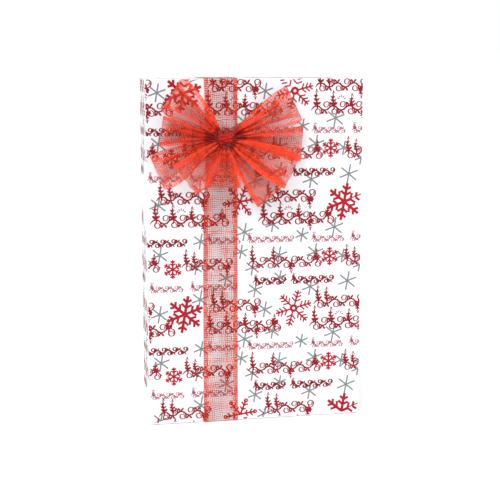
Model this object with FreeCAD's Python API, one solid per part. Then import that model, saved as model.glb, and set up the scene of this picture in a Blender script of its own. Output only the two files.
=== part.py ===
"""A flat gift box on its short end: lid and base, wrapping paper, tape, one ribbon band and a pinched bow.

Millimetres. The origin is the middle of the ribbon's underside, on which the gift stands.
+X is to the right as seen from the front, +Y runs from the front to the back and +Z is up.
"""
import FreeCAD, Part
import math
import os

V = FreeCAD.Vector

# The closed box
BOX_WIDTH = 241.0  # X, a 9.5 in apparel box
BOX_HEIGHT = 381.0  # Z, 15 in
BOX_DEPTH = 51.0  # Y, 2 in
BOARD = 0.6  # folding boxboard
TRAY_CLEARANCE = 0.4  # between the lid and the base all round, and from a wall's edge to the panel it faces
GLUE_TAB = 25.0  # length of the tab that ties a long wall to a short one

# The paper, folded round the box
PAPER = 0.1
PAPER_CLEARANCE = 0.1  # between the box and the paper's first layer
SEAM_OVERLAP = 30.0
END_FLAP = 38.0  # how far the front and back flaps reach over an end
END_LAYERS = 3  # side tucks, then the back flap, then the front flap

# Clear tape
TAPE = 0.05
TAPE_WIDTH = 19.0
SEAM_TAPE_LENGTH = 50.0
SEAM_TAPE_SHARES = (0.12, 0.5, 0.88)  # heights of the strips on the back seam, as shares of the box's height
END_TAPE_LENGTH = 30.0
END_TAPE_EDGE = 1.0  # from the end tape to the box's back edge

# The ribbon
RIBBON_WIDTH = 38.0  # 1.5 in, from wire to wire
RIBBON = 0.35
EDGE_WIRE_D = 0.3
EDGE_WIRE_CLEARANCE = 0.05  # between an edge wire and the woven strip beside it, on the band
BOW_WIRE_CLEARANCE = 0.2  # the same on the bow's loops, whose edges curve
BAND_CLEARANCE = 0.3  # between the band and the outermost tape or paper under it
BAND_BEND = 0.6  # inside radius where the band turns over an edge of the box
BAND_OFFSET = 40.0  # how far the band lies to the left of the box's middle
LAP_LENGTH = 32.0  # where the band's ends overlap, under the bow

# The bow
KNOT_DROP = 0.167  # from the box's top to the knot, as a share of the box's height
KNOT_STANDOFF = 9.5  # from the band's lap out to the middle of the knot
KNOT_X = 4.0  # how far the knot lies to the right of the band's middle
NECK_RADIUS = 11.0  # where the loops leave the gathered middle
NECK_CLEARANCE = 1.5  # between the gathered middle and the loops, along any radius
NECK_GAP = 0.5  # half the distance between a loop's two leaves at its neck
WAIST_RADIUS = 5.4
SHOULDER_X = 5.0
MIDDLE_TIP_RADIUS = 2.5
TIE_WIRE_D = 0.3
TIE_CLEARANCE = 0.55  # round the waist, enough for the bow to swivel inside the wire
TIE_BEND = 0.5
TIE_HOLE_D = 0.8

# name: direction in the face's plane and lift off it (deg), length, opening as a share of the length,
# roll about the loop's own axis (deg), half-angle of the sector it keeps to (deg)
LOOPS = {
    "upper_left": (140.0, 8.0, 77.0, 0.28, 22.0, 14.5),
    "inner_left": (172.0, 3.0, 70.0, 0.26, 0.0, 13.0),
    "left": (205.0, 7.0, 83.0, 0.26, -14.0, 13.0),
    "lower_left": (218.0, 36.0, 76.0, 0.26, 0.0, 14.0),
    "centre": (262.0, 33.0, 58.0, 0.32, 12.0, 17.5),
    "lower_right": (309.0, 7.0, 80.0, 0.26, 0.0, 14.0),
    "right_front": (333.0, 35.0, 86.0, 0.26, 0.0, 14.0),
    "right": (355.5, 4.0, 84.0, 0.26, 0.0, 12.5),
    "upper_right": (27.0, 7.0, 84.0, 0.27, 13.0, 13.0),
}
WIRE_SIDES = 6  # flats round an edge wire on a loop, which make it near enough round at its size
LEAF_POINTS = 18  # points that shape each leaf of a loop

# Derived places
TUCK_LEVEL, BACK_LEVEL, FRONT_LEVEL = 1, 2, END_LAYERS
BAND_Z0 = RIBBON  # top of the strip under the base
BOX_Z0 = BAND_Z0 + BAND_CLEARANCE + TAPE + END_LAYERS * PAPER + PAPER_CLEARANCE
BOX_Z1 = BOX_Z0 + BOX_HEIGHT
BAND_Z1 = BOX_Z1 + BOX_Z0 - BAND_Z0  # underside of the strip over the top
BOX_X0 = BAND_OFFSET - BOX_WIDTH / 2
BOX_X1 = BAND_OFFSET + BOX_WIDTH / 2
HALF_DEPTH = BOX_DEPTH / 2
SEAM_OUTSIDE = HALF_DEPTH + PAPER_CLEARANCE + 2 * PAPER + TAPE
BAND_Y = SEAM_OUTSIDE + BAND_CLEARANCE + EDGE_WIRE_CLEARANCE  # inside of the band
STRIP_HALF = RIBBON_WIDTH / 2 - EDGE_WIRE_D - EDGE_WIRE_CLEARANCE  # half the strip between the edge wires
TIE_RADIUS = WAIST_RADIUS + TIE_CLEARANCE + TIE_WIRE_D / 2  # to the middle of the wire
MIDDLE_REACH = NECK_RADIUS - NECK_CLEARANCE  # the middle's shoulders and tips are this far from the knot
SHOULDER_RADIUS = math.sqrt(MIDDLE_REACH**2 - SHOULDER_X**2)
MIDDLE_HALF_LENGTH = math.sqrt(MIDDLE_REACH**2 - MIDDLE_TIP_RADIUS**2)
KNOT = V(KNOT_X, -(BAND_Y + 2 * RIBBON + KNOT_STANDOFF), BOX_Z1 - KNOT_DROP * BOX_HEIGHT)


def block(x0, x1, y0, y1, z0, z1):
    return Part.makeBox(x1 - x0, y1 - y0, z1 - z0, V(x0, y0, z0))


def plate(points, z, thickness):
    """A flat polygon at height z, given as (x, y) points."""
    wire = Part.makePolygon([V(x, y, z) for x, y in points + points[:1]])
    return Part.Face(wire).extrude(V(0, 0, thickness))


def pipe(spine, diameter):
    """A round wire along the spine."""
    edge = spine.OrderedEdges[0]
    start, tangent = edge.valueAt(edge.FirstParameter), edge.tangentAt(edge.FirstParameter)
    if edge.Orientation == "Reversed":
        start, tangent = edge.valueAt(edge.LastParameter), edge.tangentAt(edge.LastParameter)
    section = Part.Wire(Part.makeCircle(diameter / 2, start, tangent))
    sweep = Part.BRepOffsetAPI.MakePipeShell(spine)
    sweep.add(section)
    sweep.build()
    sweep.makeSolid()
    return sweep.shape()


def rounded_loop(x, y0, y1, z0, z1, radii):
    """A closed wire at x: a rectangle rounded at its low front, low back, high back and high front."""
    corners = [(y0, z0, 1, 1), (y1, z0, -1, 1), (y1, z1, -1, -1), (y0, z1, 1, -1)]
    arcs = []
    for (y, z, sy, sz), r in zip(corners, radii):
        beside_y, beside_z = V(x, y, z + sz * r), V(x, y + sy * r, z)
        middle = V(x, y + sy * r * (1 - math.sqrt(0.5)), z + sz * r * (1 - math.sqrt(0.5)))
        ends = (beside_y, beside_z) if sy == sz else (beside_z, beside_y)
        arcs.append(Part.Arc(ends[0], middle, ends[1]))
    edges = []
    for i, arc in enumerate(arcs):
        edges.append(arc.toShape())
        here, following = arc.EndPoint, arcs[(i + 1) % len(arcs)].StartPoint
        if here.distanceToPoint(following) > 1e-6:
            edges.append(Part.makeLine(here, following))
    return Part.Wire(edges)


def tray(width, height, panel_y, edge_y, x_middle, z_middle):
    """One folded sheet of board: a panel, two long walls that carry the glue tabs, and two short walls."""
    out = 1 if panel_y > edge_y else -1  # the way the panel faces
    inner_y = panel_y - out * BOARD
    x0, x1 = x_middle - width / 2, x_middle + width / 2
    z0, z1 = z_middle - height / 2, z_middle + height / 2
    wall = sorted((inner_y, edge_y))
    solids = [block(x0, x1, *sorted((panel_y, inner_y)), z0, z1)]
    for outer, side in ((x0, 1), (x1, -1)):
        face = outer + side * BOARD
        tab_face = face + side * BOARD
        long_wall = block(*sorted((outer, face)), *wall, z0, z1)
        tabs = [
            block(*sorted((face, tab_face)), *wall, z0 + BOARD, z0 + BOARD + GLUE_TAB),
            block(*sorted((face, tab_face)), *wall, z1 - BOARD - GLUE_TAB, z1 - BOARD),
        ]
        solids.append(long_wall.fuse(tabs).removeSplitter())
    for z in (z0, z1 - BOARD):
        solids.append(block(x0 + BOARD, x1 - BOARD, *wall, z, z + BOARD))
    return Part.makeCompound(solids)


def end_plates(level_z):
    """The paper's folded end, given the z of each layer: two side tucks, the back flap and the front flap."""
    tuck = HALF_DEPTH
    x0, x1 = BOX_X0, BOX_X1
    y0, y1 = -HALF_DEPTH, HALF_DEPTH
    shapes = [
        plate([(x0, y0), (x0 + tuck, 0), (x0, y1)], level_z(TUCK_LEVEL), PAPER),
        plate([(x1, y0), (x1, y1), (x1 - tuck, 0)], level_z(TUCK_LEVEL), PAPER),
    ]
    for level, edge, way in ((BACK_LEVEL, y1, -1), (FRONT_LEVEL, y0, 1)):
        tip = edge + way * END_FLAP
        flap = [(x0, edge), (x1, edge), (x1 - END_FLAP, tip), (x0 + END_FLAP, tip)]
        shapes.append(plate(flap, level_z(level), PAPER))
    return shapes


def wrapping_paper():
    """One sheet: front, sides, two back panels that overlap at the seam, and both folded ends."""
    near = HALF_DEPTH + PAPER_CLEARANCE
    left, right = BOX_X0 - PAPER_CLEARANCE, BOX_X1 + PAPER_CLEARANCE

    def reach(level):
        """The lowest and highest z of a panel whose end flap is at this level."""
        grow = PAPER_CLEARANCE + level * PAPER
        return BOX_Z0 - grow, BOX_Z1 + grow

    solids = [
        block(left - PAPER, right + PAPER, -near - PAPER, -near, *reach(FRONT_LEVEL)),
        block(left - PAPER, left, -near, near, *reach(TUCK_LEVEL)),
        block(right, right + PAPER, -near, near + PAPER, *reach(TUCK_LEVEL)),
        block(left - PAPER, BAND_OFFSET + SEAM_OVERLAP, near, near + PAPER, *reach(BACK_LEVEL)),
        block(BAND_OFFSET, right + PAPER, near + PAPER, near + 2 * PAPER, *reach(BACK_LEVEL)),
    ]
    solids += end_plates(lambda level: BOX_Z0 - PAPER_CLEARANCE - level * PAPER)
    solids += end_plates(lambda level: BOX_Z1 + PAPER_CLEARANCE + (level - 1) * PAPER)
    return Part.makeCompound(solids)


def seam_tape(share):
    x0 = BAND_OFFSET - TAPE_WIDTH / 2
    z = BOX_Z0 + share * BOX_HEIGHT
    half = SEAM_TAPE_LENGTH / 2
    return block(x0, x0 + TAPE_WIDTH, SEAM_OUTSIDE - TAPE, SEAM_OUTSIDE, z - half, z + half)


def end_tape(z):
    y1 = HALF_DEPTH - END_TAPE_EDGE
    x0 = BAND_OFFSET - TAPE_WIDTH / 2
    return block(x0, x0 + TAPE_WIDTH, y1 - END_TAPE_LENGTH, y1, z, z + TAPE)


def ribbon_band():
    """The band round the box: a flat strip on each side, a bend over each edge and the lap under the bow."""
    half, outer = STRIP_HALF, BAND_BEND + RIBBON
    y, z0, z1 = BAND_Y, BAND_Z0, BAND_Z1
    y_turn, z_turn0, z_turn1 = y - BAND_BEND, z0 + BAND_BEND, z1 - BAND_BEND
    front = block(-half, half, -y - RIBBON, -y, z_turn0, z_turn1)
    lap = block(-half, half, -y - 2 * RIBBON, -y - RIBBON, KNOT.z - LAP_LENGTH / 2, KNOT.z + LAP_LENGTH / 2)
    tie_points = [V(KNOT.x, -y - 3 * RIBBON, KNOT.z + side * TIE_RADIUS) for side in (-1, 1)]
    holes = [Part.makeCylinder(TIE_HOLE_D / 2, 4 * RIBBON, at, V(0, 1, 0)) for at in tie_points]
    solids = [
        front.cut(holes),
        lap.cut(holes),
        block(-half, half, y, y + RIBBON, z_turn0, z_turn1),
        block(-half, half, -y_turn, y_turn, z0 - RIBBON, z0),
        block(-half, half, -y_turn, y_turn, z1, z1 + RIBBON),
    ]
    for side_y in (-1, 1):
        for z, side_z in ((z_turn0, -1), (z_turn1, 1)):
            at = V(-half, side_y * y_turn, z)
            ring = Part.makeCylinder(outer, 2 * half, at, V(1, 0, 0))
            ring = ring.cut(Part.makeCylinder(BAND_BEND, 2 * half, at, V(1, 0, 0)))
            ys, zs = sorted((at.y, at.y + side_y * outer)), sorted((z, z + side_z * outer))
            solids.append(ring.common(block(-half, half, *ys, *zs)))
    return Part.makeCompound(solids)


def band_wire(side):
    mid = RIBBON / 2
    x = side * (RIBBON_WIDTH - EDGE_WIRE_D) / 2
    loop = rounded_loop(x, -BAND_Y - mid, BAND_Y + mid, BAND_Z0 - mid, BAND_Z1 + mid, [BAND_BEND + mid] * 4)
    return pipe(loop, EDGE_WIRE_D)


def tie_wire():
    """The wire round the bow's waist. It goes through the band's weave and closes behind the band."""
    back = -(BAND_Y + HALF_DEPTH + PAPER_CLEARANCE + PAPER) / 2  # midway between the band and the paper
    return pipe(
        rounded_loop(
            KNOT.x, KNOT.y - TIE_RADIUS, back, KNOT.z - TIE_RADIUS, KNOT.z + TIE_RADIUS,
            [TIE_RADIUS, TIE_BEND, TIE_BEND, TIE_RADIUS],
        ),
        TIE_WIRE_D,
    )


def bow_middle():
    """The gathered middle of the bow: two shoulders with a waist between them for the tie wire."""
    half = [
        (WAIST_RADIUS, SHOULDER_X / 2),
        (SHOULDER_RADIUS, SHOULDER_X),
        ((SHOULDER_RADIUS + MIDDLE_TIP_RADIUS) * 0.6, (SHOULDER_X + MIDDLE_HALF_LENGTH) / 2),
        (MIDDLE_TIP_RADIUS, MIDDLE_HALF_LENGTH),
        (0, MIDDLE_HALF_LENGTH),
    ]
    outline = [(-x, r) for r, x in reversed(half)] + [(x, r) for r, x in half]
    points = [KNOT + V(x, 0, r) for x, r in outline]
    return Part.Face(Part.makePolygon(points + points[:1])).revolve(KNOT, V(1, 0, 0), 360)


def half_width(name, reach):
    """Half the loop's width at this distance from the knot: the ribbon's, or what its sector leaves it."""
    return min(STRIP_HALF, math.tan(math.radians(LOOPS[name][5])) * reach)


def leaf_curve(length, opening, inset):
    """(reach, rise) from the loop's tip to its neck, moved in from the loop's outside by inset."""
    def at(t):
        near_tip = (1 + math.cos(math.pi * t)) / 2
        rise = 0.59 * opening * length * math.sin(math.pi * t) ** 0.9 * near_tip**0.35
        return NECK_RADIUS + (length - NECK_RADIUS) * near_tip**0.62, rise + NECK_GAP * (1 - near_tip)

    curve = []
    for i in range(LEAF_POINTS):
        t, step = i / (LEAF_POINTS - 1), 1e-4
        x, y = at(t)
        (xa, ya), (xb, yb) = at(max(t - step, 0)), at(min(t + step, 1))
        if i == 0:
            nx, ny = 1.0, 0.0
        elif i == LEAF_POINTS - 1:
            nx, ny = 0.0, 1.0
        else:
            dx, dy = xb - xa, yb - ya
            nx, ny = dy / math.hypot(dx, dy), -dx / math.hypot(dx, dy)
        curve.append((x - nx * inset, y - ny * inset))
    return curve


def spline(points):
    curve = Part.BSplineCurve()
    curve.interpolate(points)
    return curve.toShape()


def loop_placement(name):
    """Turns reach along the loop, rise off the face and width across the ribbon into the frame."""
    plan, lift, _, _, roll, _ = LOOPS[name]
    plan, lift, roll = math.radians(plan), math.radians(lift), math.radians(roll)
    along = V(math.cos(plan) * math.cos(lift), -math.sin(lift), math.sin(plan) * math.cos(lift))
    across = V(-math.sin(plan), 0, math.cos(plan))
    rise = along.cross(across)
    if rise.y > 0:
        rise = -rise
    rise = rise * math.cos(roll) - across * math.sin(roll)
    width = along.cross(rise)
    return FreeCAD.Placement(
        FreeCAD.Matrix(
            along.x, rise.x, width.x, KNOT.x,
            along.y, rise.y, width.y, KNOT.y,
            along.z, rise.z, width.z, KNOT.z,
            0, 0, 0, 1,
        )
    )


def bow_loop(name):
    """A loop of ribbon as two leaves, front and back, that meet face to face at its tip."""
    _, _, length, opening, _, _ = LOOPS[name]
    reaches = [x for x, _ in reversed(leaf_curve(length, opening, RIBBON / 2))] + [length + RIBBON]
    plan = [(x, half_width(name, x)) for x in reaches]
    outline = [V(x, -length, w) for x, w in plan] + [V(x, -length, -w) for x, w in reversed(plan)]
    sector = Part.Face(Part.makePolygon(outline + outline[:1])).extrude(V(0, 2 * length, 0))
    leaves = []
    for side in (1, -1):
        outside = [V(x, side * y, -RIBBON_WIDTH) for x, y in leaf_curve(length, opening, 0)]
        inside = [V(x, side * y, -RIBBON_WIDTH) for x, y in leaf_curve(length, opening, RIBBON)]
        edges = [
            spline(outside),
            Part.makeLine(outside[-1], inside[-1]),
            spline(inside[::-1]),
            Part.makeLine(inside[0], outside[0]),
        ]
        leaf = Part.Face(Part.Wire(edges)).extrude(V(0, 0, 2 * RIBBON_WIDTH)).common(sector)
        leaves += leaf.Solids
    loop = Part.makeCompound(leaves)
    loop.Placement = loop_placement(name)
    return loop


def loop_wires(name):
    """The two edge wires of a loop, each running out along the front leaf and back along the other."""
    _, _, length, opening, _, fan = LOOPS[name]
    middle = leaf_curve(length, opening, RIBBON / 2)
    beside = (EDGE_WIRE_D / 2 + BOW_WIRE_CLEARANCE) / math.cos(math.radians(fan))
    path = [(x, y) for x, y in reversed(middle)] + [(x, -y) for x, y in middle[1:]]
    wires = []
    for side in (1, -1):
        points = [V(x, y, side * (half_width(name, x) + beside)) for x, y in path]
        sections = []
        for i, point in enumerate(points):
            tangent = points[min(i + 1, len(points) - 1)] - points[max(i - 1, 0)]
            outward = tangent.cross(V(0, 0, 1)).normalize()
            sideways = outward.cross(tangent).normalize()
            corners = [
                point + (outward * math.cos(a) + sideways * math.sin(a)) * (EDGE_WIRE_D / 2)
                for a in (k * 2 * math.pi / WIRE_SIDES for k in range(WIRE_SIDES))
            ]
            sections.append(Part.makePolygon(corners + corners[:1]))
        wires.append(Part.makeLoft(sections, True, True))
    both = Part.makeCompound(wires)
    both.Placement = loop_placement(name)
    return both


def build():
    inset_x = 2 * BOARD + TRAY_CLEARANCE  # the lid's tabs lie between the long walls
    inset_z = BOARD + TRAY_CLEARANCE
    z_middle = (BOX_Z0 + BOX_Z1) / 2
    shapes = {
        "box_lid": tray(
            BOX_WIDTH, BOX_HEIGHT, -HALF_DEPTH, HALF_DEPTH - TRAY_CLEARANCE, BAND_OFFSET, z_middle
        ),
        "box_base": tray(
            BOX_WIDTH - 2 * inset_x, BOX_HEIGHT - 2 * inset_z,
            HALF_DEPTH, -HALF_DEPTH + BOARD + TRAY_CLEARANCE, BAND_OFFSET, z_middle,
        ),
        "wrapping_paper": wrapping_paper(),
        "end_tape_top": end_tape(BOX_Z1 + PAPER_CLEARANCE + END_LAYERS * PAPER),
        "end_tape_bottom": end_tape(BOX_Z0 - PAPER_CLEARANCE - END_LAYERS * PAPER - TAPE),
        "ribbon_band": ribbon_band(),
        "band_wire_left": band_wire(-1),
        "band_wire_right": band_wire(1),
        "bow_tie_wire": tie_wire(),
        "bow_middle": bow_middle(),
    }
    for i, share in enumerate(SEAM_TAPE_SHARES, 1):
        shapes[f"seam_tape_{i}"] = seam_tape(share)
    for name in LOOPS:
        shapes[f"bow_loop_{name}"] = bow_loop(name)
        shapes[f"bow_wires_{name}"] = loop_wires(name)
    return shapes


os.makedirs("parts", exist_ok=True)
for node, shape in build().items():
    shape.exportStep(f"parts/{node}.step")
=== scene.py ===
"""A wrapped flat gift: printed paper, clear tape, a mesh ribbon band and a pinched bow of nine loops.

Metres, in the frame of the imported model: +X right, +Y back, +Z up, the origin under the ribbon band.
"""

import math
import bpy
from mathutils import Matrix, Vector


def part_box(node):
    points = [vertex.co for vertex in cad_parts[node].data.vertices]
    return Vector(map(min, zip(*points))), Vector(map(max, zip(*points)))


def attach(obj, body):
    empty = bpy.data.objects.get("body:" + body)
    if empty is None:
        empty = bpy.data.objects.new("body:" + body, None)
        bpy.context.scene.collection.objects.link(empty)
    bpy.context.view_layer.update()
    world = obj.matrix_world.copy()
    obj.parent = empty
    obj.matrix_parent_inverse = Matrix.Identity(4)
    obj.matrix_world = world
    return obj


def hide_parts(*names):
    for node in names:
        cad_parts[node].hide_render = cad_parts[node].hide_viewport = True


bl_info = {
    "name": "Wrapped Gift",
    "version": (1, 0, 0),
    "blender": (4, 5, 0),
    "location": "3D View > Sidebar > Gift",
    "description": "Printed paper, tape, mesh ribbon and bow around a packed gift box",
    "category": "Add Mesh",
}

import bmesh
import bpy
import numpy as np
from bpy.props import FloatProperty, FloatVectorProperty, IntProperty
from mathutils import Vector

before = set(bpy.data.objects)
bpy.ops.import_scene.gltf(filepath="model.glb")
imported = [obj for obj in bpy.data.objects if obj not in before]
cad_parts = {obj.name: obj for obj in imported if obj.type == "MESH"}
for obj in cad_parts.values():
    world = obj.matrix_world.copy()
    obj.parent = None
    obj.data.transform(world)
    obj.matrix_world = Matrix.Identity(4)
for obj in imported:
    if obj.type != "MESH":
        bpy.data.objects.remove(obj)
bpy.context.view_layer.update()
PAPER_LOW, PAPER_HIGH = (np.array(corner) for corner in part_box("wrapping_paper"))
BAND_LOW, BAND_HIGH = (np.array(corner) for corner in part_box("ribbon_band"))
MIDDLE_LOW, MIDDLE_HIGH = (np.array(corner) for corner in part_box("bow_middle"))
KNOT = (MIDDLE_LOW + MIDDLE_HIGH) / 2

PAPER = 0.0001
SEAM_X, UNDER_END_X = 0.040, 0.070  # where the paper's outer end and the end under it stop, on the back
END_FLAP = 0.038
PAPER_BEND = 0.0005
FACE_WIDTH = PAPER_HIGH[0] - PAPER_LOW[0]
SIDE_DEPTH = PAPER_HIGH[1] - PAPER_LOW[1]
WAVE_FADE = 0.02  # how far from a fold the paper's wave reaches its full height
# Distances along the paper from the front's left edge: to the box's upright edges, and to under the seam
EDGES = np.array([-SIDE_DEPTH, 0.0, FACE_WIDTH, FACE_WIDTH + SIDE_DEPTH])
UNDER_SEAM = -SIDE_DEPTH - (SEAM_X - PAPER_LOW[0])

RIBBON = 0.00035
RIBBON_HALF = 0.019
NECK_RADIUS = 0.011
NECK_GAP = 0.0005
BAND_BEND = 0.000775
LAP_HALF = 0.016
BAND_BELL = 0.085  # how far from the knot the band's narrowing has fallen to about a third
WIRE_RADIUS = 0.00015

# name: direction in the face's plane and lift off it (deg), length (m), opening as a share of the length,
# roll about the loop's own axis (deg), half-angle of the sector it keeps to (deg), how soon it opens out
# (1 is evenly)
LOOPS = {
    "upper_left": (140.0, 8.0, 0.077, 0.28, 22.0, 14.5, 0.72),
    "inner_left": (172.0, 3.0, 0.070, 0.26, 0.0, 13.0, 1.0),
    "left": (205.0, 7.0, 0.083, 0.26, -14.0, 13.0, 0.80),
    "lower_left": (218.0, 36.0, 0.076, 0.26, 0.0, 14.0, 0.72),
    "centre": (262.0, 33.0, 0.058, 0.32, 12.0, 17.5, 0.75),
    "lower_right": (309.0, 7.0, 0.080, 0.26, 0.0, 14.0, 0.62),
    "right_front": (333.0, 35.0, 0.086, 0.26, 0.0, 14.0, 0.70),
    "right": (355.5, 4.0, 0.084, 0.26, 0.0, 12.5, 0.95),
    "upper_right": (27.0, 7.0, 0.084, 0.27, 13.0, 13.0, 0.90),
}


# ---------------------------------------------------------------- settings


def length(name, description, default):
    return FloatProperty(
        name=name, description=description, default=default, min=0.0, unit="LENGTH", precision=4
    )


def bearing(name, description, degrees):
    return FloatProperty(name=name, description=description, default=math.radians(degrees), subtype="ANGLE")


def share(name, description, default):
    return FloatProperty(
        name=name, description=description, default=default, min=0.0, max=1.0, subtype="FACTOR"
    )


def colour(name, description, default):
    return FloatVectorProperty(
        name=name, description=description, default=default, size=3, min=0.0, max=1.0, subtype="COLOR"
    )


class GiftPaperSettings(bpy.types.PropertyGroup):
    white: colour("Paper", "Colour of the paper between the motifs", (0.735, 0.74, 0.76))
    wave: length("Wave", "How far the paper stands off the box between its edges", 0.00007)
    crimson: colour("Crimson ink", "Ink of the tall vines", (0.225, 0.003, 0.011))
    dark: colour("Dark ink", "Ink of the bold vines", (0.18, 0.003, 0.008))
    mauve: colour("Mauve ink", "Ink of the fine vines", (0.28, 0.045, 0.075))
    red: colour("Red ink", "Ink of the snowflakes", (0.33, 0.003, 0.014))
    grey: colour("Grey ink", "Ink of the small stars", (0.165, 0.185, 0.19))


class GiftRibbonSettings(bpy.types.PropertyGroup):
    red: colour("Thread", "Colour of the ribbon's threads", (0.90, 0.058, 0.018))
    # Painted shade: the deep colour is laid where the ribbon is gathered tight, in the bow's folds and
    # pinched necks.
    painted_fold_shade: colour("Thread in folds", "Colour where the ribbon is gathered tight", (0.36, 0.006, 0.005))
    pitch: length("Thread pitch", "Distance between two threads of the open weave", 0.0022)
    cover: share("Thread cover", "Share of the pitch that a thread fills", 0.185)
    bow_cover: share("Thread cover, bow", "The same in the bow, whose cloth is drawn closer", 0.215)
    film: share("Fine threads", "What the finest threads between the others cover", 0.10)
    # Painted shade: the band's threads are darkened by this factor against the bow's, for the band lying flat
    # on the paper.
    tone: share("Band tone", "How bright the band's threads are beside the bow's", 0.70)
    selvedge: length("Selvedge", "Width of the dense strip along each edge", 0.0044)
    draw_in: share("Draw-in", "How much narrower the band is under the bow", 0.09)


class GiftBowSettings(bpy.types.PropertyGroup):
    pleats: IntProperty(name="Pleats", description="Folds across a loop's neck", default=3, min=1, max=8)
    crinkle: length("Crinkle", "Height of the small unevenness of the loops", 0.0012)
    seed: IntProperty(name="Seed", description="Chooses where the folds fall", default=4, min=0)


class GiftStageSettings(bpy.types.PropertyGroup):
    azimuth: bearing("Azimuth", "Camera to the right of the front", -11.14)
    elevation: bearing("Elevation", "Camera above the middle", 9.79)
    distance: length("Distance", "From the camera to the middle of the gift", 1.354)
    lens: FloatProperty(name="Lens", description="Focal length", default=86.5, min=1.0, unit="CAMERA")
    floor: colour("Floor", "Colour of the floor", (0.98, 0.98, 0.98))


# ---------------------------------------------------------------- meshes


MERGE_WITHIN = 2e-7


def merge_doubles(mesh, turn_outwards=False):
    """Joins the points that lie together, and turns a closed shell's faces outwards where asked."""
    shell = bmesh.new()
    shell.from_mesh(mesh)
    bmesh.ops.remove_doubles(shell, verts=shell.verts, dist=MERGE_WITHIN)
    if turn_outwards:
        bmesh.ops.recalc_face_normals(shell, faces=shell.faces)
    shell.to_mesh(mesh)
    shell.free()


def new_piece(name, points, faces, uv=None, values=None, merge=False, smooth=True):
    """A mesh object from a points array and a quads array, with a UV map and point values where given.

    A closed shell is asked to merge, which joins its points and turns its faces outwards.
    """
    mesh = bpy.data.meshes.new(name)
    mesh.vertices.add(len(points))
    mesh.vertices.foreach_set("co", np.ascontiguousarray(points, np.float32).ravel())
    mesh.loops.add(faces.size)
    mesh.loops.foreach_set("vertex_index", np.ascontiguousarray(faces, np.int32).ravel())
    mesh.polygons.add(len(faces))
    mesh.polygons.foreach_set("loop_start", np.arange(len(faces), dtype=np.int32) * 4)
    mesh.update(calc_edges=True)
    if uv is not None:
        layer = mesh.uv_layers.new(name="cloth")
        layer.data.foreach_set("uv", np.ascontiguousarray(uv[faces.ravel()], np.float32).ravel())
    for key, value in (values or {}).items():
        layer = mesh.attributes.new(key, "FLOAT", "POINT")
        layer.data.foreach_set("value", np.ascontiguousarray(value, np.float32))
    if merge:
        merge_doubles(mesh, turn_outwards=True)
    mesh.validate()
    mesh.polygons.foreach_set("use_smooth", np.full(len(mesh.polygons), smooth))
    piece = bpy.data.objects.new(name, mesh)
    bpy.context.scene.collection.objects.link(piece)
    return piece


def grid_faces(rows, columns, close=False):
    """Quads of a grid of rows by columns. The columns close on themselves where asked."""
    last = columns if close else columns - 1
    row, column = np.meshgrid(np.arange(rows - 1), np.arange(last), indexing="ij")
    beside = (column + 1) % columns
    here, above = row * columns, (row + 1) * columns
    corners = [here + column, here + beside, above + beside, above + column]
    return np.stack(corners, -1).reshape(-1, 4)


def cloth_uv(across, along):
    """The UV map of a grid of cloth: the distance across it and the distance along it, in metres."""
    return np.stack(np.broadcast_arrays(across[None], along[:, None]), -1)


def cloth_piece(name, cloth, uv, gather_and_shade, close=False):
    """A piece of ribbon from a grid of points, its UV map and how tight it is gathered at each point, which
    also sets its painted fold shade.
    """
    rows, columns = cloth.shape[:2]
    return new_piece(
        name, cloth.reshape(-1, 3), grid_faces(rows, columns, close), uv.reshape(-1, 2),
        {"gather_and_shade": gather_and_shade.ravel()}, merge=close,
    )


def tube(path, radius, sides=6):
    """A round wire: a ring round each point of the path, square to it, and a closed point at each end."""
    askew = np.array([0.31, 0.17, 0.93])  # a direction that no wire runs in
    along = np.gradient(path, axis=0)
    along /= np.linalg.norm(along, axis=1, keepdims=True)
    side = np.cross(along, askew)
    side /= np.linalg.norm(side, axis=1, keepdims=True)
    up = np.cross(along, side)
    angle = np.arange(sides) * 2 * np.pi / sides
    ring = side[:, None] * np.cos(angle)[None, :, None] + up[:, None] * np.sin(angle)[None, :, None]
    rings = path[:, None] + radius * ring
    ends = [np.repeat(path[i][None, None], sides, 1) for i in (0, -1)]
    rings = np.concatenate([ends[0], rings, ends[1]])
    return rings.reshape(-1, 3), grid_faces(len(rings), sides, close=True)


def joined(parts):
    """One points array and one quads array from several."""
    points, faces, start = [], [], 0
    for p, f in parts:
        points.append(p)
        faces.append(f + start)
        start += len(p)
    return np.concatenate(points), np.concatenate(faces)


# ---------------------------------------------------------------- materials


def new_material(name):
    """A material with its Principled shader, and its node tree."""
    made = bpy.data.materials.new(name)
    made.use_nodes = True
    return made, made.node_tree, made.node_tree.nodes["Principled BSDF"]


def put(tree, kind, **settings):
    """A new node, with its settings."""
    node = tree.nodes.new(kind)
    for key, value in settings.items():
        setattr(node, key, value)
    return node


def feed(tree, socket, value):
    """Links a socket to another node's output, or sets it to a constant."""
    if isinstance(value, bpy.types.NodeSocket):
        tree.links.new(value, socket)
    else:
        socket.default_value = value


def fill(tree, node, **values):
    """Feeds a node's sockets by name. Underscores in the names stand for spaces."""
    for key, value in values.items():
        feed(tree, node.inputs[key.replace("_", " ")], value)
    return node


def calc(tree, operation, *values):
    """The result of one sum on sockets or numbers."""
    node = put(tree, "ShaderNodeMath", operation=operation)
    for socket, value in zip(node.inputs, values):
        feed(tree, socket, value)
    return node.outputs[0]


def ramp(tree, value, low, high, to_low=0.0, to_high=1.0):
    """A smooth step of value from low to high."""
    node = put(tree, "ShaderNodeMapRange", interpolation_type="SMOOTHSTEP")
    for socket, given in zip(node.inputs, (value, low, high, to_low, to_high)):
        feed(tree, socket, given)
    return node.outputs[0]


def scaled(tint, by, more=0.0):
    """A lighter or darker colour than the tint, at most 1 in each part."""
    return tuple(min(1.0, c * by + more) for c in tint)


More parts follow.
